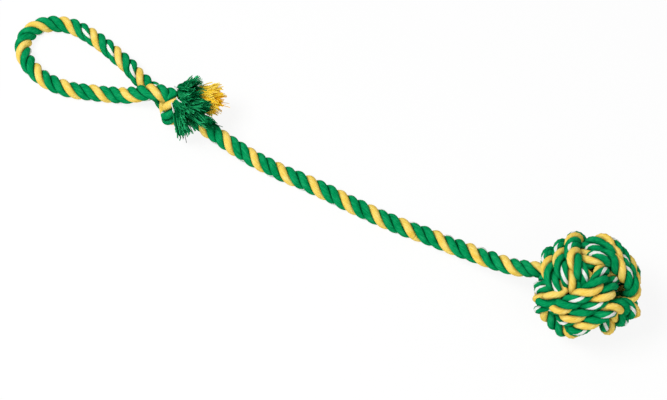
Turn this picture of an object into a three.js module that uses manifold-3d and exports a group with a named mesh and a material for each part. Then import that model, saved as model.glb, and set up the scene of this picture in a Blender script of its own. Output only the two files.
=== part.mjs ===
// Rope dog toy: one length of three-strand cotton rope, tied as a monkey's fist ball at one end
// and as a knotted hand loop with three frayed strand ends at the other. It lies flat on a floor.
// Millimetres, +Z up, +X from the hand loop to the ball, origin at the middle of the resting face.
import * as THREE from 'three';
import { mergeVertices } from 'three/addons/utils/BufferGeometryUtils.js';
import Module from 'manifold-3d';

const ROPE_DIAMETER = 11.4;
const FIST_ROPE_DIAMETER = 8.1;
const TURN_SPACING = (FIST_ROPE_DIAMETER + 0.45) / 0.937;
const TURNS_PER_SET = 3;
const PASS_BOW = 0.2;
const FIST_STEPS_PER_TURN = 26;
const FIST_STEP = 5.8;
const FIST_SIDES = 8;
const ROPE_SIDES = 12;
const ROPE_STEP = 7.0;
const FLAT_DEPTH = 0.1;
const BALL_FLAT = 1.6;
const PIECE_GAP = 0.3;
const BALL_CENTRE_X = 197.3;
const BALL_CENTRE_Y = 0.85;
const CORNER_UP = new THREE.Vector3(0.04, -0.09, 0.99).normalize();
const FIRST_FACE_AZIMUTH = 170;
const CORE_CLEARANCE = 0.5;
const TASSEL_ROOT_RADIUS = 2.3;
const TASSEL_SIDES = 10;
const LYING = ROPE_DIAMETER * (0.5 - FLAT_DEPTH);

const wasm = await Module();
wasm.setup();
const { Manifold, Mesh: SolidMesh } = wasm;

// A tube swept along a curve, its rings carried along without twist, closed at both ends.
function sweptTube(curve, steps, radiusAt, sides) {
  const count = steps + 1;
  const positions = [];
  const index = [];
  let normal = null;
  for (let i = 0; i < count; i += 1) {
    const tangent = curve.getTangentAt(i / steps);
    const centre = curve.getPointAt(i / steps);
    if (normal === null) {
      normal = Math.abs(tangent.z) < 0.9 ? new THREE.Vector3(0, 0, 1) : new THREE.Vector3(1, 0, 0);
    }
    normal.addScaledVector(tangent, -normal.dot(tangent)).normalize();
    const side = new THREE.Vector3().crossVectors(tangent, normal);
    const radius = radiusAt(i / steps);
    for (let k = 0; k < sides; k += 1) {
      const angle = (2 * Math.PI * k) / sides;
      const point = centre.clone();
      point.addScaledVector(normal, radius * Math.cos(angle));
      point.addScaledVector(side, radius * Math.sin(angle));
      positions.push(point.x, point.y, point.z);
    }
  }
  for (let i = 0; i + 1 < count; i += 1) {
    for (let k = 0; k < sides; k += 1) {
      const a = i * sides + k;
      const b = i * sides + ((k + 1) % sides);
      index.push(a, b, b + sides, a, b + sides, a + sides);
    }
  }
  for (let k = 1; k + 1 < sides; k += 1) {
    const last = (count - 1) * sides;
    index.push(0, k + 1, k, last, last + k, last + k + 1);
  }
  const geometry = new THREE.BufferGeometry();
  geometry.setAttribute('position', new THREE.Float32BufferAttribute(positions, 3));
  geometry.setIndex(index);
  return geometry;
}

function toSolid(geometry) {
  const mesh = new SolidMesh({
    numProp: 3,
    vertProperties: new Float32Array(geometry.attributes.position.array),
    triVerts: new Uint32Array(geometry.index.array),
  });
  mesh.merge();
  return new Manifold(mesh);
}

function toGeometry(solid) {
  const mesh = solid.getMesh();
  const geometry = new THREE.BufferGeometry();
  geometry.setAttribute('position', new THREE.Float32BufferAttribute(mesh.vertProperties, 3));
  geometry.setIndex(Array.from(mesh.triVerts));
  geometry.computeVertexNormals();
  return geometry;
}

// The face that rests on the floor: whatever hangs below it is cut off flat.
function cutFlat(geometry) {
  return toGeometry(toSolid(geometry).trimByPlane([0, 0, 1], 0));
}

// Ball knot. Each set of turns is an oval band round two faces of the ball: it lies outside on its
// own pair of faces and dives under the next set on the other pair.
function softSign(value) {
  return (value / Math.hypot(value, PASS_BOW)) * Math.hypot(1, PASS_BOW);
}

function smoothStep(from, to, value) {
  return THREE.MathUtils.smoothstep(value, from, to);
}

function bandPoint(angle) {
  const across = 2 * softSign(Math.cos(angle)) + Math.cos(angle);
  const down = -(softSign(Math.sin(angle)) + Math.sin(angle));
  let aside = -1;
  for (let turn = 0; turn < TURNS_PER_SET; turn += 1) {
    const middle = (2 * turn + 1) * Math.PI;
    aside += smoothStep(middle - 1.45, middle + 1.45, angle);
  }
  return [across, down, aside];
}

// Sets in tying order. Each entry gives where its across, down and aside go: x, y or z.
const SETS = [
  { name: 'first', order: [1, 2, 0], from: -Math.PI / 2 + 0.1, to: 5 * Math.PI + 0.4 },
  { name: 'second', order: [0, 1, 2], from: -0.3, to: 5 * Math.PI + 0.4 },
  { name: 'third', order: [2, 0, 1], from: -0.3, to: 5 * Math.PI + 0.3 },
];
const CORNERS = [
  [2.28, 2.02, -1.98],
  [-1.98, 2.28, 2.02],
];
const ENTRY = [
  [3.0, -1.25, -3.05],
  [2.55, -1.05, -2.4],
  [2.13, -1.0, -1.75],
];

const flat = new THREE.Vector3(
  Math.cos(THREE.MathUtils.degToRad(FIRST_FACE_AZIMUTH)),
  Math.sin(THREE.MathUtils.degToRad(FIRST_FACE_AZIMUTH)),
  0,
);
flat.addScaledVector(CORNER_UP, -flat.dot(CORNER_UP)).normalize();
const faces = [0, 120, 240].map((turn) => {
  const lean = flat.clone().applyAxisAngle(CORNER_UP, THREE.MathUtils.degToRad(turn));
  return CORNER_UP.clone().multiplyScalar(1 / Math.sqrt(3)).addScaledVector(lean, Math.sqrt(2 / 3));
});

function ballPoint(triple) {
  const local = new THREE.Vector3(...triple).multiplyScalar(TURN_SPACING);
  const point = new THREE.Vector3();
  point.addScaledVector(faces[0], local.x);
  point.addScaledVector(faces[1], local.y);
  point.addScaledVector(faces[2], local.z);
  return point;
}

const knots = ENTRY.map((triple) => ballPoint(triple));
const setStarts = [];
SETS.forEach((set, number) => {
  setStarts.push(knots.length);
  const steps = Math.round(((set.to - set.from) / (2 * Math.PI)) * FIST_STEPS_PER_TURN);
  for (let i = 0; i <= steps; i += 1) {
    const band = bandPoint(set.from + ((set.to - set.from) * i) / steps);
    knots.push(ballPoint(set.order.map((axis) => band[axis])));
  }
  if (number < CORNERS.length) {
    knots.push(ballPoint(CORNERS[number]));
  }
});
const lowest = Math.min(...knots.map((point) => point.z));
const ballCentre = new THREE.Vector3(
  BALL_CENTRE_X,
  BALL_CENTRE_Y,
  FIST_ROPE_DIAMETER / 2 - BALL_FLAT - lowest,
);
knots.forEach((point) => point.add(ballCentre));

// Least gap of the ball's rope to itself, over points more than two diameters apart along it.
function leastGap(points, diameter) {
  const travel = [0];
  for (let i = 1; i < points.length; i += 1) {
    travel.push(travel[i - 1] + points[i].distanceTo(points[i - 1]));
  }
  let least = Infinity;
  for (let i = 0; i < points.length; i += 1) {
    for (let j = i + 1; j < points.length; j += 1) {
      const apart = points[i].distanceTo(points[j]);
      if (travel[j] - travel[i] > 1.9 * diameter && apart < least) {
        least = apart;
      }
    }
  }
  return { gap: least - diameter, length: travel[travel.length - 1] };
}

// How far along a curve, from its start, it comes nearest to a point.
function along(curve, target) {
  const total = curve.getLength();
  let nearest = 0;
  let least = Infinity;
  for (let i = 0; i <= 3000; i += 1) {
    const here = curve.getPointAt(i / 3000).distanceTo(target);
    if (here < least) {
      least = here;
      nearest = i;
    }
  }
  return (nearest / 3000) * total;
}

// A stretch of a longer curve, short of its neighbours by half a gap at each end.
class Stretch extends THREE.Curve {
  constructor(whole, start, end) {
    super();
    this.whole = whole;
    this.total = whole.getLength();
    this.start = start + PIECE_GAP / 2;
    this.end = end - PIECE_GAP / 2;
  }

  getPoint(t) {
    return this.whole.getPointAt((this.start + (this.end - this.start) * t) / this.total);
  }

  getTangent(t) {
    return this.whole.getTangentAt((this.start + (this.end - this.start) * t) / this.total);
  }

  stepsOf(step) {
    return Math.max(2, Math.round((this.end - this.start) / step));
  }
}

const fistCurve = new THREE.CatmullRomCurve3(knots, false, 'centripetal');
fistCurve.arcLengthDivisions = 4000;
const finePoints = fistCurve.getPoints(knots.length * 2);
const measured = leastGap(finePoints, FIST_ROPE_DIAMETER);
console.log(`ball rope: length ${measured.length.toFixed(0)} mm, least gap to itself ${measured.gap.toFixed(2)} mm`);

// The free rope, from the frayed end through the knot, round the hand loop, back through the knot
// and along the shaft to the ball. Heights: it lies on the floor, is lifted over the knot's wrap, and
// climbs to the ball's side.
const WRAP = [
  [-96.5, 11.0, 27.8],
  [-97.2, 4.8, 29.3],
  [-98.4, -2.0, 26.6],
  [-99.8, -6.4, 20.0],
  [-101.6, -6.2, 11.4],
  [-104.0, -2.4, 5.4],
  [-108.4, 2.2, LYING],
  [-115.0, 6.6, LYING],
  [-123.6, 10.4, LYING],
];
const LOOP = [
  [-133.4, 13.0, LYING],
  [-141.7, 15.7, LYING],
  [-151.1, 20.0, LYING],
  [-161.9, 22.9, LYING],
  [-172.4, 26.0, LYING],
  [-182.9, 28.2, LYING],
  [-192.9, 29.4, LYING],
  [-203.1, 29.6, LYING],
  [-212.5, 27.1, LYING],
  [-221.0, 22.1, LYING],
  [-226.0, 14.6, LYING],
  [-227.0, 6.6, LYING],
  [-223.6, -2.2, LYING],
  [-214.6, -10.6, LYING],
  [-202.1, -15.8, LYING],
  [-189.8, -17.6, LYING],
  [-178.7, -16.8, LYING],
  [-168.5, -14.0, LYING],
  [-158.9, -10.2, LYING],
  [-149.9, -6.6, LYING],
];
const STANDING = [
  [-140.0, -3.2, 5.8],
  [-130.0, 0.2, 10.4],
  [-122.0, 2.8, 14.6],
  [-115.5, 4.6, 16.6],
  [-107.5, 5.4, 17.0],
  [-98.5, 4.8, 17.0],
  [-91.3, 2.6, 16.8],
  [-82.5, -0.6, 15.6],
  [-74.3, -3.0, 13.8],
];
const SHAFT = [
  [-60.6, -3.8, 10.6],
  [-40.8, -4.5, 6.4],
  [-17.8, -4.3, LYING],
  [-2.3, -3.6, LYING],
  [16.2, -3.2, LYING],
  [34.6, -3.5, LYING],
  [53.1, -3.5, LYING],
  [71.1, -2.7, LYING],
  [88.4, -1.2, 5.2],
  [106.3, -1.4, 8.1],
  [124.3, -2.6, 13.3],
  [141.0, -4.2, 19.3],
];
const route = [...WRAP, ...LOOP, ...STANDING, ...SHAFT].map((triple) => new THREE.Vector3(...triple));
const exit = knots[0];
const exitWay = knots[0].clone().sub(knots[1]).normalize();
route.push(exit.clone().addScaledVector(exitWay, 5), exit.clone());
const rope = new THREE.CatmullRomCurve3(route, false, 'centripetal');
rope.arcLengthDivisions = 2000;
const ropeLength = rope.getLength();

const section = new THREE.Shape();
for (let k = 0; k < ROPE_SIDES; k += 1) {
  const angle = (2 * Math.PI * (k + 0.5)) / ROPE_SIDES;
  const method = k === 0 ? 'moveTo' : 'lineTo';
  section[method]((ROPE_DIAMETER / 2) * Math.cos(angle), (ROPE_DIAMETER / 2) * Math.sin(angle));
}
section.closePath();

function ropeTube(stretch) {
  const geometry = new THREE.ExtrudeGeometry(section, {
    steps: stretch.stepsOf(ROPE_STEP),
    extrudePath: stretch,
    bevelEnabled: false,
  });
  geometry.deleteAttribute('uv');
  geometry.deleteAttribute('normal');
  return mergeVertices(geometry, 1e-4);
}

function ropePiece(start, end) {
  return cutFlat(ropeTube(new Stretch(rope, start, end)));
}

const station = (triple) => along(rope, new THREE.Vector3(...triple));
const stations = {
  frayedEnd: 0,
  wrapEnd: station(LOOP[0]),
  loopStart: station(LOOP[2]),
  loopEnd: station(LOOP[18]),
  standingStart: station(STANDING[1]),
  knotNeckStart: station(STANDING[8]),
  knotNeckEnd: station(SHAFT[1]),
  bendStart: station(SHAFT[4]),
  bendEnd: station(SHAFT[6]),
  ballNeckStart: station(SHAFT[9]),
  ballEnd: ropeLength,
};

const GREEN = 0x0b8a4b;
const YELLOW = 0xf0c53c;
const GREY = 0x8f8f88;
const group = new THREE.Group();
group.name = 'rope_dog_toy';

function addNode(name, geometry, color) {
  const material = new THREE.MeshStandardMaterial({ color, roughness: 0.9, metalness: 0 });
  const mesh = new THREE.Mesh(geometry, material);
  mesh.name = name;
  group.add(mesh);
  return mesh;
}

// Ball: three sets of turns, cut face to face where one set runs on into the next, round a core.
const setEnds = [
  0,
  along(fistCurve, knots[setStarts[1] - 1]),
  along(fistCurve, knots[setStarts[2] - 1]),
  fistCurve.getLength(),
];
const fistNames = ['fist_first_turns', 'fist_second_turns', 'fist_third_turns'];
fistNames.forEach((name, n) => {
  const turns = new Stretch(fistCurve, setEnds[n], setEnds[n + 1]);
  const tube = sweptTube(turns, turns.stepsOf(FIST_STEP), () => FIST_ROPE_DIAMETER / 2, FIST_SIDES);
  addNode(name, cutFlat(tube), GREEN);
});
const coreRadius = 2 * TURN_SPACING - FIST_ROPE_DIAMETER / 2 - CORE_CLEARANCE;
const core = addNode('fist_core', new THREE.IcosahedronGeometry(coreRadius, 3), GREY);
core.position.copy(ballCentre);

// Shaft and its bends. The last bend thins the rope to the size it is pulled to in the ball.
addNode('shaft_knot_end', ropePiece(stations.knotNeckEnd, stations.bendStart), GREEN);
addNode('shaft_middle_bend', ropePiece(stations.bendStart, stations.bendEnd), GREEN);
addNode('shaft_ball_end', ropePiece(stations.bendEnd, stations.ballNeckStart), GREEN);
const neck = new Stretch(rope, stations.ballNeckStart, stations.ballEnd);
const neckWidth = (t) => {
  const width = THREE.MathUtils.lerp(ROPE_DIAMETER, FIST_ROPE_DIAMETER, smoothStep(0.2, 0.9, t));
  return width / 2;
};
addNode('ball_neck', sweptTube(neck, neck.stepsOf(ROPE_STEP), neckWidth, ROPE_SIDES), GREEN);
addNode('knot_neck', ropePiece(stations.knotNeckStart, stations.knotNeckEnd), GREEN);

// Knot and hand loop.
addNode('standing_part', ropePiece(stations.standingStart, stations.knotNeckStart), GREEN);
addNode('knot_wrap', ropePiece(stations.frayedEnd, stations.wrapEnd), GREEN);
addNode('loop_root_upper', ropePiece(stations.wrapEnd, stations.loopStart), GREEN);
addNode('handle_loop', ropePiece(stations.loopStart, stations.loopEnd), GREEN);
addNode('loop_root_lower', ropePiece(stations.loopEnd, stations.standingStart), GREEN);

// Frayed strand ends: flared brushes that fan out from the end of the wrap over the standing part.
const TASSELS = [
  { name: 'tassel_green_upper', colour: GREEN, root: [-94.5, 5.4, 33.0], tip: [-85.6, 7.0, 36.0], mouth: 8.8 },
  { name: 'tassel_green_lower', colour: GREEN, root: [-92.5, -3.2, 29.6], tip: [-75.5, -8.6, 26.0], mouth: 10.0 },
  { name: 'tassel_yellow', colour: YELLOW, root: [-93.4, 9.8, 24.6], tip: [-74.8, 14.4, 22.0], mouth: 9.5 },
];
const room = () => ROPE_DIAMETER / 2 + PIECE_GAP;
const standing = new Stretch(rope, stations.standingStart, stations.knotNeckEnd);
const standingRoom = toSolid(sweptTube(standing, 24, room, 24));
const wrapRoom = toSolid(sweptTube(new Stretch(rope, 0, stations.wrapEnd), 24, room, 24));
let taken = standingRoom.add(wrapRoom);
TASSELS.forEach((tassel) => {
  const spine = new THREE.LineCurve3(new THREE.Vector3(...tassel.root), new THREE.Vector3(...tassel.tip));
  const steps = 5;
  const radius = (t) => THREE.MathUtils.lerp(TASSEL_ROOT_RADIUS, tassel.mouth, t * (1.25 - 0.25 * t));
  const brush = toSolid(sweptTube(spine, steps, radius, TASSEL_SIDES));
  addNode(tassel.name, toGeometry(brush.subtract(taken).trimByPlane([0, 0, 1], 0)), tassel.colour);
  const wider = (t) => radius(t) + PIECE_GAP;
  taken = taken.add(toSolid(sweptTube(spine, steps, wider, TASSEL_SIDES)));
});

const box = new THREE.Box3().setFromObject(group);
const middle = box.getCenter(new THREE.Vector3());
group.position.set(-middle.x, -middle.y, -box.min.z);
const size = box.getSize(new THREE.Vector3());
console.log(`free rope ${ropeLength.toFixed(0)} mm; box ${size.toArray().map((v) => v.toFixed(1))}`);
console.log(`shift ${middle.x.toFixed(3)} ${middle.y.toFixed(3)} ${box.min.z.toFixed(3)}`);

export default group;
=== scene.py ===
import math

import bpy
import numpy as np
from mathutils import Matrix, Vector


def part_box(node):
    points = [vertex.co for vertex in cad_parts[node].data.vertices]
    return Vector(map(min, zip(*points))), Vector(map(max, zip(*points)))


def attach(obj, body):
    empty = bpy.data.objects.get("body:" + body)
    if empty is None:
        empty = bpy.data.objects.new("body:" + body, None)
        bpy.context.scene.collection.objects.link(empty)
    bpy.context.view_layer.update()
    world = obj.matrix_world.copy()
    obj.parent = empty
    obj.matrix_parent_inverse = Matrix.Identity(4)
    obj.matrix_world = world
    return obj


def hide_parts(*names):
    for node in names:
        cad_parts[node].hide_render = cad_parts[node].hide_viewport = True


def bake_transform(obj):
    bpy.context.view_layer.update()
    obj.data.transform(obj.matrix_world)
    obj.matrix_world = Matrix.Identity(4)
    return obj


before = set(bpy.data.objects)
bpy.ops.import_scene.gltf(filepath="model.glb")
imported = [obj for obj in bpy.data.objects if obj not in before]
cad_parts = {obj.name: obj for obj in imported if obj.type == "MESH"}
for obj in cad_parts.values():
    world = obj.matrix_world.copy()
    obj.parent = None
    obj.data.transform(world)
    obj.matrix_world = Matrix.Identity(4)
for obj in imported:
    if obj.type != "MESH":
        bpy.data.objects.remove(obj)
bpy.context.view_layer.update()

scene = bpy.context.scene

# The rope outside the ball. The toy is tied from one length of soft cotton rope. From its frayed
# end it wraps the hand knot, goes round the hand loop, back through the knot and along the shaft.
# The points are millimetres along its middle line, over the floor that the toy lies on.
ROPE_WIDTH = 11.4
LYING = ROPE_WIDTH * 0.4  # the middle line over the floor, where the soft rope flattens
WRAP = [
    (-96.5, 11.0, 27.8), (-97.2, 4.8, 29.3), (-98.4, -2.0, 26.6), (-99.8, -6.4, 20.0),
    (-101.6, -6.2, 11.4), (-104.0, -2.4, 5.4), (-108.4, 2.2, LYING), (-115.0, 6.6, LYING),
    (-123.6, 10.4, LYING),
]
LOOP = [
    (-133.4, 13.0, LYING), (-141.7, 15.7, LYING), (-151.1, 20.0, LYING), (-161.9, 22.9, LYING),
    (-172.4, 26.0, LYING), (-182.9, 28.2, LYING), (-192.9, 29.4, LYING), (-203.1, 29.6, LYING),
    (-212.5, 27.1, LYING), (-221.0, 22.1, LYING), (-226.0, 14.6, LYING), (-227.0, 6.6, LYING),
    (-223.6, -2.2, LYING), (-214.6, -10.6, LYING), (-202.1, -15.8, LYING), (-189.8, -17.6, LYING),
    (-178.7, -16.8, LYING), (-168.5, -14.0, LYING), (-158.9, -10.2, LYING), (-149.9, -6.6, LYING),
]
STANDING = [
    (-140.0, -3.2, 5.8), (-130.0, 0.2, 10.4), (-122.0, 2.8, 14.6), (-115.5, 4.6, 16.6),
    (-107.5, 5.4, 17.0), (-98.5, 4.8, 17.0), (-91.3, 2.6, 16.8), (-82.5, -0.6, 15.6),
    (-74.3, -3.0, 13.8),
]
SHAFT = [
    (-60.6, -3.8, 10.6), (-40.8, -4.5, 6.4), (-17.8, -4.3, LYING), (-2.3, -3.6, LYING),
    (16.2, -3.2, LYING), (34.6, -3.5, LYING), (53.1, -3.5, LYING), (71.1, -2.7, LYING),
    (88.4, -1.2, 5.2), (106.3, -1.4, 8.1), (124.3, -2.6, 13.3), (141.0, -4.2, 19.3),
]

# The rope in the ball. It is tied as a monkey's fist: nine turns in three sets of three, each set
# at right angles to the other two and wound over the one before. Points in the ball are in turn
# spacings from its centre, along the three faces that the sets lie on.
BALL_CENTRE = (197.3, 0.85)
TURN_SPACING = 8.8  # millimetres
POINTS_PER_TURN = 26
PASS_BOW = 0.2  # how far a pass over a face is bowed instead of straight
STEP_ASIDE = 1.45  # half the angle over which a turn moves aside to the next
CORNER_SPREAD = 0.08  # how much wider the three turns lie round the corners
BALL_ENTRY = [(3.0, -1.25, -3.05), (2.55, -1.05, -2.4), (2.13, -1.0, -1.75)]
BALL_SETS = [  # the order of the axes, and the angles where the set starts and ends
    ((1, 2, 0), -math.pi / 2 + 0.1, 5 * math.pi + 0.4),
    ((0, 1, 2), -math.pi / 2 + 0.3, 5 * math.pi + 0.4),
    ((2, 0, 1), -0.3, 5 * math.pi + 0.3),
]
CHANGE_OVERS = [(2.17, 2.68, -2.03), (-1.98, 2.28, 2.02)]  # where one set goes on to the next
CHANGE_DRAWN_IN = 0.88
CORNER_UP = np.array([0.04, -0.09, 0.99])  # the corner of the three faces that points upwards
FIRST_FACE_AZIMUTH = math.radians(170)

core_low, core_high = (np.array(corner) * 1000 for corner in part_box("fist_core"))
ball_centre = (core_low + core_high) / 2
shift = np.array([BALL_CENTRE[0] - ball_centre[0], BALL_CENTRE[1] - ball_centre[1], 0.0])


def soft_sign(value):
    """-1 to 1 like a sign, but rounded about zero, so that a pass bows a little."""
    return value / math.hypot(value, PASS_BOW) * math.hypot(1, PASS_BOW)


def ease(start, end, value):
    """0 before start, 1 after end and a smooth rise between them."""
    t = min(max((value - start) / (end - start), 0.0), 1.0)
    return t * t * (3 - 2 * t)


def band_point(angle):
    """A set of three turns, which reach three spacings one way and two the other, side by side."""
    across = 2 * soft_sign(math.cos(angle)) + math.cos(angle)
    down = -(soft_sign(math.sin(angle)) + math.sin(angle))
    aside = -1.0
    for turn in range(3):
        middle = (2 * turn + 1) * math.pi
        aside += ease(middle - STEP_ASIDE, middle + STEP_ASIDE, angle)
    aside *= 1 + CORNER_SPREAD * math.sin(2 * angle) ** 2
    return across, down, aside


up = CORNER_UP / np.linalg.norm(CORNER_UP)
lean = np.array([math.cos(FIRST_FACE_AZIMUTH), math.sin(FIRST_FACE_AZIMUTH), 0.0])
lean = lean - up * lean.dot(up)
lean /= np.linalg.norm(lean)
ball_faces = []
for turn in (0, 120, 240):
    c, s = math.cos(math.radians(turn)), math.sin(math.radians(turn))
    turned = lean * c + np.cross(up, lean) * s
    ball_faces.append(up / math.sqrt(3) + turned * math.sqrt(2 / 3))
ball_faces = np.array(ball_faces)


def ball_point(triple):
    """A point in turn spacings along the three faces, in millimetres."""
    return ball_centre + TURN_SPACING * (np.array(triple) @ ball_faces)


ball_route = [ball_point(triple) for triple in BALL_ENTRY]
for number, (order, start, end) in enumerate(BALL_SETS):
    steps = round((end - start) / (2 * math.pi) * POINTS_PER_TURN)
    for i in range(steps + 1):
        band = band_point(start + (end - start) * i / steps)
        ball_route.append(ball_point([band[axis] for axis in order]))
    if number < len(CHANGE_OVERS):
        ball_route.append(ball_point(np.array(CHANGE_OVERS[number]) * CHANGE_DRAWN_IN))

# The rope's whole middle line: one smooth curve through all the points, from the frayed end to the
# last turn of the ball. It leaves the ball straight, and one turn beside the first change-over is
# pushed against its neighbours, as a hand does when it dresses the knot.
POINTS_PER_SPAN = 24
STRAIGHT_OUT = 5  # millimetres
PUSHED_AT = 1089.0  # millimetres along the rope
PUSHED_REACH = 7.0
PUSHED_BY = np.array([3.0, -0.1, -1.0])


def smooth_route(points):
    """A curve through the points that keeps close to them, in even small steps of each span."""
    points = [2 * points[0] - points[1], *points, 2 * points[-1] - points[-2]]
    out = []
    for a, b, c, d in zip(points, points[1:], points[2:], points[3:]):
        ab, bc, cd = (math.sqrt(np.linalg.norm(q - p)) for p, q in ((a, b), (b, c), (c, d)))
        start = ((b - a) / ab - (c - a) / (ab + bc) + (c - b) / bc) * bc
        end = ((c - b) / bc - (d - b) / (bc + cd) + (d - c) / cd) * bc
        for i in range(POINTS_PER_SPAN):
            t = i / POINTS_PER_SPAN
            cubic = 2 * b - 2 * c + start + end
            square = -3 * b + 3 * c - 2 * start - end
            out.append(b + start * t + square * t * t + cubic * t ** 3)
    out.append(points[-2])
    return np.array(out)


def distances(line):
    """How far along a line each of its points is."""
    return np.concatenate([[0], np.cumsum(np.linalg.norm(np.diff(line, axis=0), axis=1))])


exit_point = ball_route[0]
exit_way = exit_point - ball_route[1]
exit_way /= np.linalg.norm(exit_way)
free_route = [np.array(point) - shift for point in WRAP + LOOP + STANDING + SHAFT]
free_route += [exit_point + STRAIGHT_OUT * exit_way, exit_point]
free_line = smooth_route(free_route)
ball_line = smooth_route(ball_route)
whole = np.concatenate([free_line, ball_line[1:]])
pushed = np.exp(-0.5 * ((distances(whole) - PUSHED_AT) / PUSHED_REACH) ** 2)
whole = whole + pushed[:, None] * PUSHED_BY
travel = distances(whole)
free_length = float(distances(free_line)[-1])
rope_length = float(travel[-1])

# The frame that the strands are laid about. At stations 0.75 mm apart along the rope it holds the
# way forward and two directions across, carried along without twist.
STEP = 0.75
station = np.arange(0, rope_length, STEP)
centre = np.stack([np.interp(station, travel, whole[:, i]) for i in range(3)], 1)
tangent = np.gradient(centre, axis=0)
tangent /= np.linalg.norm(tangent, axis=1)[:, None]
normal = np.zeros_like(centre)
side = np.zeros_like(centre)
carried = np.array([0.0, 0.0, 1.0])
for i, way in enumerate(tangent):
    carried = carried - way * carried.dot(way)
    carried /= np.linalg.norm(carried)
    normal[i] = carried
    side[i] = np.cross(way, carried)

# The lay. The three strands are laid up right-handed, one turn in about 22 mm, and the rope is
# drawn thinner where it is pulled tight in the ball. The lay is set by the places, in millimetres
# along the rope, where the yellow strand comes to the upper side, and runs evenly between them.
SEEN_FROM = np.array([0.258, -0.463, 0.848])  # the way from the toy to the viewer
FREE_PITCH = 22.4
BALL_PITCH = 21.5
BALL_ROPE_WIDTH = 10.2
LAY_SETTLES = 10  # stations to each side that even out the lay
DRAWN_OVER = 80  # millimetres of rope about the ball's neck that go from full width to drawn
YELLOW_STRAND = 1
YELLOW_SEEN = [
    14.5, 76.5, 125.0, 169.5, 193.0, 220.5, 244.5, 286.0, 309.0, 370.5, 414.0, 460.5, 505.5,
    530.0, 580.5, 601.0, 628.5, 648.5, 795.0, 956.0, 1001.0, 1046.5, 1068.5, 1116.0, 1251.5,
    1276.0, 1427.0, 1450.5, 1569.0, 1709.0, 1733.5, 1850.0, 1874.0, 1898.0,
]
facing = np.unwrap(np.arctan2(side @ SEEN_FROM, normal @ SEEN_FROM))
mark_at, mark_lay = [0.0], [facing[0]]
for place in YELLOW_SEEN:
    usual = FREE_PITCH if place < free_length else BALL_PITCH
    likely = mark_lay[-1] + 2 * math.pi * (place - mark_at[-1]) / usual
    upper = np.interp(place, station, facing) - 2 * math.pi * YELLOW_STRAND / 3
    mark_at.append(place)
    mark_lay.append(upper + 2 * math.pi * round((likely - upper) / (2 * math.pi)))
mark_lay[0] = mark_lay[1] - 2 * math.pi * mark_at[1] / FREE_PITCH
mark_at.append(rope_length)
mark_lay.append(mark_lay[-1] + 2 * math.pi * (rope_length - mark_at[-2]) / BALL_PITCH)
lay = np.interp(station, mark_at, mark_lay)
window = 2 * LAY_SETTLES + 1
padded_lay = np.pad(lay, LAY_SETTLES, mode="reflect", reflect_type="odd")
lay = np.convolve(padded_lay, np.ones(window) / window, mode="valid")
pitch = 2 * math.pi * STEP / np.gradient(lay)
in_ball = np.clip((station - free_length + DRAWN_OVER / 2) / DRAWN_OVER, 0, 1)
in_ball = in_ball * in_ball * (3 - 2 * in_ball)
width = ROPE_WIDTH + (BALL_ROPE_WIDTH - ROPE_WIDTH) * in_ball

# The marker yarn. A bundle of undyed white yarn lies in one green strand and comes out once in each
# lay. On the loop it faces the viewer, along the shaft it keeps to the edges, and on the ball it
# faces outwards. Each pair is a place along the rope and degrees from the viewer.
MARKER_TURN = [
    (0, 90), (45, 90), (72, 0), (136, 0), (152, 92), (250, 95), (330, 80), (400, 78), (470, 90),
    (560, 104), (590, 90),
]
MARKER_CHANGES = 30  # millimetres into the ball until it faces outwards
MARKER_JOINS = 20  # stations into the ball where the two rules are matched
marker_turn = np.interp(station, [p for p, _ in MARKER_TURN], [t for _, t in MARKER_TURN])
outward = centre - ball_centre
outward_angle = np.unwrap(np.arctan2((outward * side).sum(1), (outward * normal).sum(1)))
marker_angle = facing + np.radians(marker_turn)
joined = int(free_length / STEP) + MARKER_JOINS
jump = round((marker_angle[joined] - outward_angle[joined]) / math.pi) * math.pi
mix = np.clip((station - free_length) / MARKER_CHANGES, 0, 1)
marker_angle = marker_angle * (1 - mix) + (outward_angle + jump) * mix

# The strands. Each of the three is a plump roller of soft yarns that lie nearly along the rope, so
# fine yarn grooves cross it. Two are dyed green and one yellow. They flatten where they lie on the
# floor, and a little unevenness keeps them from looking machined.
YARNS_PER_STRAND = 16
RING = 2 * YARNS_PER_STRAND  # points round a strand: a ridge and a groove for each yarn
YARN_GROOVE = 0.07
STRAND_SHARE = 0.22  # a strand's radius as a share of the rope's width
BALL_STRAND_SHARE = 0.227
MARKER_COLUMNS = 5
MARKED_STRAND, MARKER_SLOT = 0, 3
UNEVEN = 0.025
UNEVEN_WAVES = 0.31, 0.113  # radians a millimetre
UNEVEN_BETWEEN = 2.1  # radians from strand to strand
UV_LENGTH = 100  # millimetres of rope to one unit of V


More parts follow.
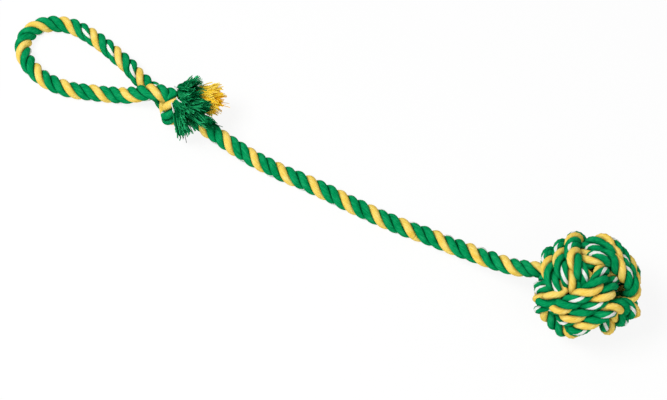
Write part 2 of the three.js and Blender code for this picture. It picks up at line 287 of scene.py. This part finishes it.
def strand_mesh(name, first, last, every, materials):
    """The three strands between two stations, with UVs that run round and along the yarns."""
    pick = np.unique(np.append(np.arange(first, last, every), last))
    rows = len(pick)
    vertices, faces, slots, uvs, facing_out = [], [], [], [], []
    for number in range(3):
        angle = lay[pick] + 2 * math.pi * number / 3
        roller = width[pick] * (STRAND_SHARE + (BALL_STRAND_SHARE - STRAND_SHARE) * in_ball[pick])
        offset = width[pick] / 2 - roller
        out = normal[pick] * np.cos(angle)[:, None] + side[pick] * np.sin(angle)[:, None]
        round_way = side[pick] * np.cos(angle)[:, None] - normal[pick] * np.sin(angle)[:, None]
        middle = centre[pick] + out * offset[:, None]
        slope = 2 * math.pi * offset / pitch[pick]
        lean = 1 / np.sqrt(1 + slope ** 2)
        across = (round_way - tangent[pick] * slope[:, None]) * lean[:, None]
        base = sum(len(v) for v in vertices)
        k = np.arange(RING)
        around = 2 * math.pi * (k[None, :] - MARKER_COLUMNS / 2) / RING
        around = around + 2 * (marker_angle[pick] - lay[pick])[:, None]
        groove = np.where(k % 2 == 0, YARN_GROOVE, -YARN_GROOVE)[None, :]
        short_wave = np.sin(station[pick] * UNEVEN_WAVES[0] + UNEVEN_BETWEEN * number)
        lump = 1 + UNEVEN * short_wave * np.sin(station[pick] * UNEVEN_WAVES[1])
        radius = roller[:, None] * lump[:, None] + groove
        points = (
            middle[:, None, :]
            + out[:, None, :] * (radius * np.cos(around))[:, :, None]
            + across[:, None, :] * (radius * np.sin(around))[:, :, None]
        )
        points[:, :, 2] = np.maximum(points[:, :, 2], 0.0)
        vertices.append(points.reshape(-1, 3))
        facing_out.append(np.cos(around).ravel())
        for row in range(rows - 1):
            a = base + row * RING
            v0, v1 = station[pick[row]] / UV_LENGTH, station[pick[row + 1]] / UV_LENGTH
            for col in range(RING):
                nxt = (col + 1) % RING
                faces.append((a + col, a + nxt, a + RING + nxt, a + RING + col))
                marked = number == MARKED_STRAND and col < MARKER_COLUMNS
                slots.append(MARKER_SLOT if marked else number)
                u0, u1 = col / RING, (col + 1) / RING
                uvs.extend([(u0, v0), (u1, v0), (u1, v1), (u0, v1)])
        for row, turn in ((0, -1), (rows - 1, 1)):
            ring = [base + row * RING + col for col in range(RING)]
            faces.append(tuple(ring[::turn]))
            slots.append(number)
            uvs.extend([(0.5, station[pick[row]] / UV_LENGTH)] * RING)
    mesh = bpy.data.meshes.new(name)
    mesh.from_pydata((np.concatenate(vertices) / 1000).tolist(), [], faces)
    for material in materials:
        mesh.materials.append(material)
    mesh.polygons.foreach_set("material_index", slots)
    mesh.polygons.foreach_set("use_smooth", [True] * len(faces))
    # How far each point faces out of the rope; the cotton paints shade into the grooves by it.
    outward_share = mesh.attributes.new("outward", "FLOAT", "POINT")
    outward_share.data.foreach_set("value", np.concatenate(facing_out).astype(np.float32))
    layer = mesh.uv_layers.new(name="yarn")
    layer.data.foreach_set("uv", np.array(uvs, np.float32).ravel())
    mesh.update()
    piece = bpy.data.objects.new(name, mesh)
    scene.collection.objects.link(piece)
    return piece


def linear(code):
    """An sRGB hex colour as linear red, green, blue and alpha."""
    parts = [int(code[i:i + 2], 16) / 255 for i in (1, 3, 5)]
    return [p / 12.92 if p <= 0.04045 else ((p + 0.055) / 1.055) ** 2.4 for p in parts] + [1.0]


def add(tree, kind, settings=None, links=None):
    """One node with its settings and what feeds its inputs."""
    node = tree.nodes.new(kind)
    for key, value in (settings or {}).items():
        if isinstance(key, str) and hasattr(node, key):
            setattr(node, key, value)
        else:
            node.inputs[key].default_value = value
    for key, source in (links or {}).items():
        tree.links.new(source, node.inputs[key])
    return node


# Dyed cotton yarn, spun and laid soft: fully matte, because loose fibres scatter the light. The eye
# sees streaks of lighter and darker yarn along the strand and faint fibres in relief, and shade is
# painted into the colour where a strand turns in to its neighbours, in the grooves between strands.
# A strand is about 16 mm round, so a streak is 0.7 mm by 4.5 mm. The fibres, 0.16 mm by 1.1 mm, are
# drawn coarser than real ones so that they show.
STREAKS = YARNS_PER_STRAND * 1.5, 22.0  # round a strand, and in 100 mm along it
FIBRES = YARNS_PER_STRAND * 6, 90.0
PATCHES = 180.0  # in a metre, which makes them 5 to 6 mm wide
STREAK_SHARE = 0.65  # of the colour's unevenness, the rest being patches
SHADE_AT, DYE_AT, FADE_AT = 0.38, 0.5, 0.62
GROOVE_SHADE_BELOW = 0.45  # painted shade darkens a strand where it faces outwards less than this
FIBRE_HEIGHT = 0.6
YARN_RELIEF = {"Strength": 0.5, "Distance": 0.0004}
MATTE = {"Roughness": 0.95, "Specular IOR Level": 0.0}


# groove is how far the painted shade in the grooves between strands darkens the colour, as a share.
def cotton(name, dye, shade, lightest, groove):
    material = bpy.data.materials.new(name)
    material.use_nodes = True
    tree = material.node_tree
    tree.nodes.clear()
    place = add(tree, "ShaderNodeTexCoord")
    streak_map = add(tree, "ShaderNodeMapping", {"Scale": (*STREAKS, 1.0)},
                     {"Vector": place.outputs["UV"]})
    streak = add(tree, "ShaderNodeTexNoise", {"Scale": 1.0, "Detail": 4.0, "Roughness": 0.65},
                 {"Vector": streak_map.outputs["Vector"]})
    patch = add(tree, "ShaderNodeTexNoise", {"Scale": PATCHES, "Detail": 3.0, "Roughness": 0.6},
                {"Vector": place.outputs["Object"]})
    fibre_map = add(tree, "ShaderNodeMapping", {"Scale": (*FIBRES, 1.0)},
                    {"Vector": place.outputs["UV"]})
    fibre = add(tree, "ShaderNodeTexNoise", {"Scale": 1.0, "Detail": 3.0, "Roughness": 0.7},
                {"Vector": fibre_map.outputs["Vector"]})
    tone = add(tree, "ShaderNodeMix", {0: STREAK_SHARE},
               {2: patch.outputs["Fac"], 3: streak.outputs["Fac"]})
    ramp = add(tree, "ShaderNodeValToRGB", None, {"Fac": tone.outputs[0]})
    stops = ramp.color_ramp.elements
    stops[0].position, stops[0].color = SHADE_AT, linear(shade)
    stops[1].position, stops[1].color = FADE_AT, linear(lightest)
    stops.new(DYE_AT).color = linear(dye)
    # Painted shade: the colour is darkened where the strand faces outwards little, in the grooves.
    outward = add(tree, "ShaderNodeAttribute", {"attribute_name": "outward"})
    groove_shade = add(tree, "ShaderNodeMapRange",
                {"From Min": 0.0, "From Max": GROOVE_SHADE_BELOW, "To Min": groove, "To Max": 1.0},
                {"Value": outward.outputs["Fac"]})
    shaded = add(tree, "ShaderNodeVectorMath", {"operation": "SCALE"},
                 {"Vector": ramp.outputs["Color"], "Scale": groove_shade.outputs["Result"]})
    height = add(tree, "ShaderNodeMath", {"operation": "MULTIPLY_ADD", 1: FIBRE_HEIGHT},
                 {0: fibre.outputs["Fac"], 2: streak.outputs["Fac"]})
    bump = add(tree, "ShaderNodeBump", YARN_RELIEF, {"Height": height.outputs[0]})
    surface = add(tree, "ShaderNodeBsdfPrincipled", MATTE,
                  {"Base Color": shaded.outputs["Vector"], "Normal": bump.outputs["Normal"]})
    add(tree, "ShaderNodeOutputMaterial", None, {"Surface": surface.outputs["BSDF"]})
    return material


green_cotton = cotton("green_cotton", "#068f54", "#007640", "#1ea265", groove=0.42)
yellow_cotton = cotton("yellow_cotton", "#f4d265", "#e9be46", "#f9e088", groove=0.62)
white_cotton = cotton("white_cotton", "#e9ebe7", "#d6d9d4", "#f1f2ee", groove=0.7)
strand_colours = [green_cotton, yellow_cotton, green_cotton, white_cotton]

# Ball knot: the nine turns of rope, drawn up tight round a core, so that each set lies over one
# neighbour and under the other. The turns press on each other and on the floor, and nothing else
# holds them.
BALL_STARTS = 3  # millimetres before the first turn
BALL_RINGS_EVERY = 2  # stations, which keeps the ball under 200,000 triangles


def at(station_mm):
    """The station nearest to a place along the rope."""
    return int(round(min(max(station_mm, 0), rope_length - STEP) / STEP))


ball_start = free_length - BALL_STARTS
ball_rope = strand_mesh(
    "ball_rope", at(ball_start), at(rope_length), BALL_RINGS_EVERY, strand_colours)
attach(ball_rope, "ball")
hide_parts("fist_first_turns", "fist_second_turns", "fist_third_turns")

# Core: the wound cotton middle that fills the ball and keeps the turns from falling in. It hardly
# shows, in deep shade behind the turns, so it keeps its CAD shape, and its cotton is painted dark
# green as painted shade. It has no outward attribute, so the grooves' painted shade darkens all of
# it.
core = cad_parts["fist_core"]
# Painted shade: a dark green, darkened all over by the groove value.
shaded_core_cotton = cotton("shaded_core_cotton", "#2c4a38", "#203629", "#365544", groove=0.6)
for slot in core.material_slots:
    slot.material = shaded_core_cotton

# Ball end of the shaft: the rope from the ball's neck, where it comes out between the turns, to the
# floor. It is bare rope, held by the knot alone, and it bends at the neck.
ROPE_RINGS_EVERY = 1  # stations


def nearest(point_mm):
    """The station outside the ball that is nearest to a point."""
    gap = np.linalg.norm(centre - (np.array(point_mm) - shift), axis=1)
    gap[int(free_length / STEP):] = np.inf
    return int(gap.argmin())


def metres(index):
    """A station's point on the middle line, in metres."""
    return tuple(float(v) / 1000 for v in centre[index])


ball_side = at(ball_start)
front_middle = nearest((82.0, -1.8, LYING))
front_rope = strand_mesh(
    "shaft_front_rope", front_middle, ball_side, ROPE_RINGS_EVERY, strand_colours)
metres(nearest((156.0, -4.6, 25.0)))
metres(nearest((96.0, -1.3, 6.4)))
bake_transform(front_rope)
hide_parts("ball_neck", "shaft_ball_end")

# Middle of the shaft: the same rope, lying nearly straight on the floor. Nothing holds it.
back_middle = nearest((-17.8, -4.3, LYING))
middle_rope = strand_mesh(
    "shaft_middle_rope", back_middle, front_middle, ROPE_RINGS_EVERY, strand_colours)
metres(nearest((71.1, -2.7, LYING)))
metres(nearest((-2.3, -3.6, LYING)))
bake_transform(middle_rope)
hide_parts("shaft_middle_bend", "shaft_knot_end")

# Knot end of the shaft: the same rope, rising from the floor into the hand knot, where the wrap
# grips it. It bends just before the knot.
knot_side = nearest((-91.3, 2.6, 16.8))
back_rope = strand_mesh(
    "shaft_back_rope", knot_side, back_middle, ROPE_RINGS_EVERY, strand_colours)
metres(nearest((-28.0, -4.4, 5.2)))
metres(nearest((-81.0, -1.0, 15.3)))
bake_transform(back_rope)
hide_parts("knot_neck")

# Hand knot and hand loop: the rope goes on through the knot, round a teardrop loop and back, under
# the standing part, up its front and over it. The wrap is pulled tight and ends in the frayed
# strands.
FRAYED_FROM = 9.0  # millimetres along the rope, where the strands come apart
rope_end = at(FRAYED_FROM)
loop_rope = strand_mesh("loop_rope", rope_end, knot_side, ROPE_RINGS_EVERY, strand_colours)
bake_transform(loop_rope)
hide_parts("standing_part", "knot_wrap", "loop_root_upper", "loop_root_lower", "handle_loop")

# Frayed ends: past the knot the three strands are unlaid and combed out into brushes of soft cotton
# yarns that lie over the standing part. They were cut with shears, so the mouths are ragged, and
# only the wrap's grip holds them.
TUBE_SIDES = 5
TONE_SPREAD = 0.3


def yarn_tubes(name, paths, thickness, tone, material):
    """Yarns as tubes: each row of paths is one yarn in millimetres, with its radii and tones."""
    rows, points = paths.shape[:2]
    mesh = bpy.data.meshes.new(name)
    index = np.arange(rows * points).reshape(rows, points)
    edges = np.stack([index[:, :-1].ravel(), index[:, 1:].ravel()], 1)
    mesh.from_pydata((paths.reshape(-1, 3) / 1000).tolist(), edges.tolist(), [])
    radius = mesh.attributes.new("thickness", "FLOAT", "POINT")
    radius.data.foreach_set("value", (thickness.ravel() / 1000).astype(np.float32))
    # The tones carry painted shade, with a random tone for each yarn added on top.
    tone = tone + np.random.default_rng(rows).uniform(0, TONE_SPREAD, (rows, 1))
    tones = mesh.attributes.new("tone", "FLOAT", "POINT")
    tones.data.foreach_set("value", tone.ravel().astype(np.float32))
    piece = bpy.data.objects.new(name, mesh)
    scene.collection.objects.link(piece)
    tree = bpy.data.node_groups.new(name + "_tubes", "GeometryNodeTree")
    tree.interface.new_socket("Geometry", in_out="INPUT", socket_type="NodeSocketGeometry")
    tree.interface.new_socket("Geometry", in_out="OUTPUT", socket_type="NodeSocketGeometry")
    sides = tree.interface.new_socket("Sides", in_out="INPUT", socket_type="NodeSocketInt")
    source = add(tree, "NodeGroupInput")
    curves = add(tree, "GeometryNodeMeshToCurve", None, {"Mesh": source.outputs["Geometry"]})
    named = add(tree, "GeometryNodeInputNamedAttribute",
                {"data_type": "FLOAT", "Name": "thickness"})
    ring = add(tree, "GeometryNodeCurvePrimitiveCircle", {"Radius": 1.0},
               {"Resolution": source.outputs["Sides"]})
    tubes = add(tree, "GeometryNodeCurveToMesh", {"Fill Caps": True},
                {"Curve": curves.outputs["Curve"], "Profile Curve": ring.outputs["Curve"],
                 "Scale": named.outputs["Attribute"]})
    real = add(tree, "GeometryNodeRealizeInstances", None, {"Geometry": tubes.outputs["Mesh"]})
    dyed = add(tree, "GeometryNodeSetMaterial", {"Material": material},
               {"Geometry": real.outputs["Geometry"]})
    add(tree, "NodeGroupOutput", None, {"Geometry": dyed.outputs["Geometry"]})
    modifier = piece.modifiers.new("tubes", "NODES")
    modifier.node_group = tree
    modifier[sides.identifier] = TUBE_SIDES
    depsgraph = bpy.context.evaluated_depsgraph_get()
    made = bpy.data.meshes.new_from_object(piece.evaluated_get(depsgraph))
    piece.modifiers.clear()
    piece.data = made
    made.name = name
    made.polygons.foreach_set("use_smooth", [True] * len(made.polygons))
    return piece


# Loose cotton yarn, combed out of the strand: matte, with every yarn dyed a little differently.
# Shade
# is painted into the colour: yarns are darker towards their roots and deep in the mouth of the
# brush, where the other yarns shade them, and lighter outside and at the tips.
PAINTED_SHADE_AT, LOOSE_DYE_AT, TIP_AT = 0.36, 0.7, 1.0


def loose_yarn(name, painted_shade, dye, lightest):
    material = bpy.data.materials.new(name)
    material.use_nodes = True
    tree = material.node_tree
    tree.nodes.clear()
    tone = add(tree, "ShaderNodeAttribute", {"attribute_name": "tone"})
    ramp = add(tree, "ShaderNodeValToRGB", None, {"Fac": tone.outputs["Fac"]})
    stops = ramp.color_ramp.elements
    stops[0].position, stops[0].color = PAINTED_SHADE_AT, linear(painted_shade)
    stops[1].position, stops[1].color = TIP_AT, linear(lightest)
    stops.new(LOOSE_DYE_AT).color = linear(dye)
    surface = add(tree, "ShaderNodeBsdfPrincipled", MATTE, {"Base Color": ramp.outputs["Color"]})
    add(tree, "ShaderNodeOutputMaterial", None, {"Surface": surface.outputs["BSDF"]})
    return material


loose_green = loose_yarn("loose_green_yarn", "#00180b", "#006c3a", "#2eb775")
loose_yellow = loose_yarn("loose_yellow_yarn", "#f9b616", "#ffd630", "#ffe56a")

GOLDEN_ANGLE = math.pi * (3 - math.sqrt(5))
YARN_POINTS = 12
YARN_RADIUS = 0.42, 0.31  # millimetres at the root and at the tip
RADIUS_SPREAD = 0.75, 1.2
ROOT_RADIUS = 4.0  # millimetres
YARNS_IN_LOCK = 5
LOCK_PULL = 0.6  # how far a yarn's tip is drawn to the middle of its lock
TIP_SCATTER = 0.06
LOCK_RAGGED, YARN_RAGGED = 0.11, 0.07  # uneven lengths, as shares of the brush's length
STRAY_SHARE, STRAY_LENGTH, STRAY_THICKNESS = 0.05, 1.22, 0.6
WAVE_SIZE = 0.95  # millimetres
WAVE_TURNS = 4, 9  # radians over a yarn's length
FLARE = 1.25
OUTER_SHORTER = 0.16
LEAST_HEIGHT = 0.6  # millimetres over the floor
# Painted shade: how much lighter the outer yarns and the tips are than the shaded roots inside.
OUTER_LIT, TIP_LIT = 0.52, 0.28


def brush(root, mouth, spread, hollow, count, seed):
    """Yarn paths of one unlaid strand: from a tight root they flare in locks to a ragged mouth."""
    rng = np.random.default_rng(seed)
    root, mouth = np.array(root) - shift, np.array(mouth) - shift
    reach = np.linalg.norm(mouth - root)
    way = (mouth - root) / reach
    across = np.cross((0, 0, 1), way)
    across /= np.linalg.norm(across)
    above = np.cross(way, across)
    disc = np.sqrt((np.arange(count) + 0.5) / count)
    turn = np.arange(count) * GOLDEN_ANGLE
    own = np.stack([disc * np.cos(turn), disc * np.sin(turn)], 1)
    lock_place = own[rng.permutation(count)[:count // YARNS_IN_LOCK]]
    nearest_lock = np.argmin(np.linalg.norm(own[:, None] - lock_place[None], axis=2), 1)
    tip = own * (1 - LOCK_PULL) + lock_place[nearest_lock] * LOCK_PULL
    tip = tip + rng.normal(0, TIP_SCATTER, (count, 2))
    lock_length = rng.normal(0, LOCK_RAGGED, len(lock_place))[nearest_lock]
    length = 1 + lock_length - hollow * (1 - disc ** 2) + rng.normal(0, YARN_RAGGED, count)
    stray = rng.uniform(0, 1, count) < STRAY_SHARE
    length = np.where(stray, length * STRAY_LENGTH, length)
    wave_size = rng.normal(0, WAVE_SIZE, (2, count))
    wave_phase = rng.uniform(0, 2 * math.pi, (2, count))
    wave_turns = rng.uniform(*WAVE_TURNS, count)
    rows = []
    for t in np.linspace(0, 1, YARN_POINTS):
        flare = t ** FLARE
        aside = own * ROOT_RADIUS * (1 - flare) + tip * np.array(spread) * flare
        curl = wave_size * t * np.sin(wave_turns * t + wave_phase)
        forward = reach * t * length * (1 - OUTER_SHORTER * disc ** 2 * t)
        row = root + way * forward[:, None]
        row = row + across * (aside[:, 0] + curl[0])[:, None]
        row = row + above * (aside[:, 1] + curl[1])[:, None]
        rows.append(row)
    paths = np.stack(rows, 1)
    paths[:, :, 2] = np.maximum(paths[:, :, 2], LEAST_HEIGHT)
    thickness = np.linspace(*YARN_RADIUS, YARN_POINTS) * rng.uniform(*RADIUS_SPREAD, (count, 1))
    thickness = np.where(stray[:, None], thickness * STRAY_THICKNESS, thickness)
    # Painted shade: dark at the roots and deep in the brush, lighter outwards and towards the tips.
    tone = OUTER_LIT * disc[:, None] ** 2 + TIP_LIT * np.linspace(0, 1, YARN_POINTS)
    return paths, thickness, tone


# Each brush: its root, the middle of its mouth, how far it spreads to each side, how hollow the
# mouth is, and its yarns.
FIRST_SEED = 11
SEEDS_PER_TUFT = 5
TUFTS = [
    ("tassel_green_upper", loose_green, "tassel_green", [
        ((-98.6, 5.0, 30.0), (-84.3, 7.0, 35.5), (10.4, 9.6), 0.5, 430),
    ]),
    ("tassel_green_lower", loose_green, "tassel_green", [
        ((-96.0, -3.4, 28.5), (-75.5, -8.6, 27.5), (12.5, 11.0), 0.62, 520),
        ((-94.0, 0.0, 29.0), (-81.0, -1.5, 35.0), (9.5, 8.5), 0.35, 260),
        ((-92.0, -7.5, 26.0), (-86.5, -13.6, 11.5), (4.2, 4.2), 0.0, 110),
        ((-88.0, -5.0, 28.0), (-68.6, -4.6, 23.5), (4.0, 3.2), 0.0, 110),
        ((-88.0, -1.0, 29.0), (-74.6, 3.4, 29.5), (4.0, 3.6), 0.0, 100),
    ]),
    ("tassel_yellow", loose_yellow, "tassel_yellow", [
        ((-94.0, 7.0, 25.5), (-75.8, 14.2, 23.0), (11.5, 8.5), 0.05, 700),
    ]),
]
for number, (node, loose_cotton, slot_name, brushes) in enumerate(TUFTS):
    seed = FIRST_SEED + SEEDS_PER_TUFT * number
    made = [brush(*values, seed + n) for n, values in enumerate(brushes)]
    tuft_paths, tuft_thickness, tuft_tone = (np.concatenate(rows) for rows in zip(*made))
    tuft = yarn_tubes(node + "_yarns", tuft_paths, tuft_thickness, tuft_tone, loose_cotton)
    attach(tuft, "handle")
    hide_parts(node)

# The marker yarn's own loose ends: a few short undyed cotton yarns that spring out where the green
# strands leave the wrap. They are held in the strands and arch a little over them, and they are
# painted darker towards their roots as painted shade.
MARKER_ENDS = [
    ((-101.1, 3.3, 33.4), (-97.6, 1.4, 33.9)),
    ((-95.2, -2.6, 33.6), (-90.6, -5.3, 33.0)),
    ((-97.8, -6.9, 29.6), (-92.6, -9.0, 27.2)),
]
ENDS_IN_BUNDLE = 3
END_POINTS = 9
END_RADIUS = 0.34  # millimetres
END_SCATTER = 0.7
END_TIP_LIT = 0.8
END_OVERRUN = 0.1  # how far a yarn runs on past both ends, as a share of its length
ARCH_HEIGHT, ARCH_FALL = 0.8, 2.2
MARKER_SEED = 31
loose_white = loose_yarn("loose_white_yarn", "#cfd2cd", "#e4e6e2", "#eff0ec")
marker_rng = np.random.default_rng(MARKER_SEED)
share = np.linspace(-END_OVERRUN, 1 + END_OVERRUN, END_POINTS)[:, None]
arch = SEEN_FROM * (ARCH_HEIGHT - ARCH_FALL * (share - 0.5) ** 2)
marker_paths = []
for start, end in MARKER_ENDS:
    for _ in range(ENDS_IN_BUNDLE):
        nudge = marker_rng.normal(0, END_SCATTER, (2, 3))
        ends = np.array([start, end]) - shift + nudge
        marker_paths.append(ends[0] * (1 - share) + ends[1] * share + arch)
marker_paths = np.array(marker_paths)
marker_radius = np.full(marker_paths.shape[:2], END_RADIUS)
# Painted shade: the ends are dark at their roots and lighter towards their tips.
marker_tone = np.tile(np.linspace(0, END_TIP_LIT, END_POINTS), (len(marker_paths), 1))
marker_ends = yarn_tubes("marker_yarn_ends", marker_paths, marker_radius, marker_tone, loose_white)
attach(marker_ends, "handle")

# Floor: a wide sheet of matte white paper. To the eye it is nearly white by itself, so that only
# the toy's soft shadow shows on it, and to the light it is plain paper.
FLOOR_CORNERS = (-6, -6, 0), (6, -6, 0), (6, 6, 0), (-6, 6, 0)  # metres
FLOOR_DROP = 0.0002
FLOOR_WHITE = 0.88  # the share of the floor's look that doesn't depend on the light


def seen_directly(tree):
    """1 for rays that show a surface to the eye, also by a mirror or glass, and 0 for light."""
    path = add(tree, "ShaderNodeLightPath")
    mirrored = add(tree, "ShaderNodeMath", {"operation": "MAXIMUM"},
                   {0: path.outputs["Is Glossy Ray"], 1: path.outputs["Is Transmission Ray"]})
    seen = add(tree, "ShaderNodeMath", {"operation": "MAXIMUM"},
               {0: path.outputs["Is Camera Ray"], 1: mirrored.outputs[0]})
    return seen.outputs[0]


floor_mesh = bpy.data.meshes.new("floor")
floor_mesh.from_pydata(FLOOR_CORNERS, [], [(0, 1, 2, 3)])
floor = bpy.data.objects.new("floor", floor_mesh)
scene.collection.objects.link(floor)
paper = bpy.data.materials.new("matte_paper")
paper.use_nodes = True
tree = paper.node_tree
tree.nodes.clear()
matte = add(tree, "ShaderNodeBsdfDiffuse", {"Color": linear("#f4f4f4")})
glow = add(tree, "ShaderNodeEmission", {"Color": linear("#ffffff"), "Strength": 1.0})
white_share = add(tree, "ShaderNodeMath", {"operation": "MULTIPLY", 1: FLOOR_WHITE},
                  {0: seen_directly(tree)})
mixed = add(tree, "ShaderNodeMixShader", None,
            {0: white_share.outputs[0], 1: matte.outputs[0], 2: glow.outputs[0]})
add(tree, "ShaderNodeOutputMaterial", None, {"Surface": mixed.outputs[0]})
floor_mesh.materials.append(paper)
floor.location.z = -FLOOR_DROP

# Light: a white studio that the eye sees as plain white and that lights the toy evenly, with one
# soft lamp from the upper left and a weaker one from the right.
STUDIO_LIGHT = 0.36
STUDIO_SEEN = 0.64  # added for the eye, which makes it white
LAMPS = [  # name, place, size in metres and power in watts
    ("key", (-0.5, -0.5, 1.3), 0.7, 16.6),
    ("fill", (0.9, -0.7, 1.0), 1.0, 5.0),
]
world = bpy.data.worlds.new("studio")
scene.world = world
world.use_nodes = True
sky = world.node_tree.nodes["Background"]
sky.inputs["Color"].default_value = linear("#ffffff")
sky_strength = add(world.node_tree, "ShaderNodeMath",
                   {"operation": "MULTIPLY_ADD", 1: STUDIO_SEEN, 2: STUDIO_LIGHT},
                   {0: seen_directly(world.node_tree)})
world.node_tree.links.new(sky_strength.outputs[0], sky.inputs["Strength"])
for name, place, size, power in LAMPS:
    lamp = bpy.data.lights.new(name, "AREA")
    lamp.size = size
    lamp.energy = power
    holder = bpy.data.objects.new(name, lamp)
    scene.collection.objects.link(holder)
    holder.location = place
    holder.rotation_euler = (-holder.location).to_track_quat("-Z", "Y").to_euler()

# Camera: the photograph's own viewing angle, from the front right and above. Its places are
# millimetres on the toy's floor, and its lens is the focal length in pixels of a 667-pixel picture.
EYE = (306.22, -512.91, 932.85)
LOOKED_AT = (22.395, -3.761, 0.0)
FOCAL_PIXELS = 1683
PICTURE_WIDTH = 667
SENSOR_WIDTH = 36
camera_data = bpy.data.cameras.new("camera")
camera = bpy.data.objects.new("camera", camera_data)
scene.collection.objects.link(camera)
eye = (np.array(EYE) - shift) / 1000
target = (np.array(LOOKED_AT) - shift) / 1000
camera.location = eye.tolist()
ahead = Vector(target.tolist()) - camera.location
camera.rotation_euler = ahead.to_track_quat("-Z", "Y").to_euler()
camera_data.sensor_width = SENSOR_WIDTH
camera_data.lens = SENSOR_WIDTH * FOCAL_PIXELS / PICTURE_WIDTH
scene.camera = camera
scene.view_settings.view_transform = "Standard"
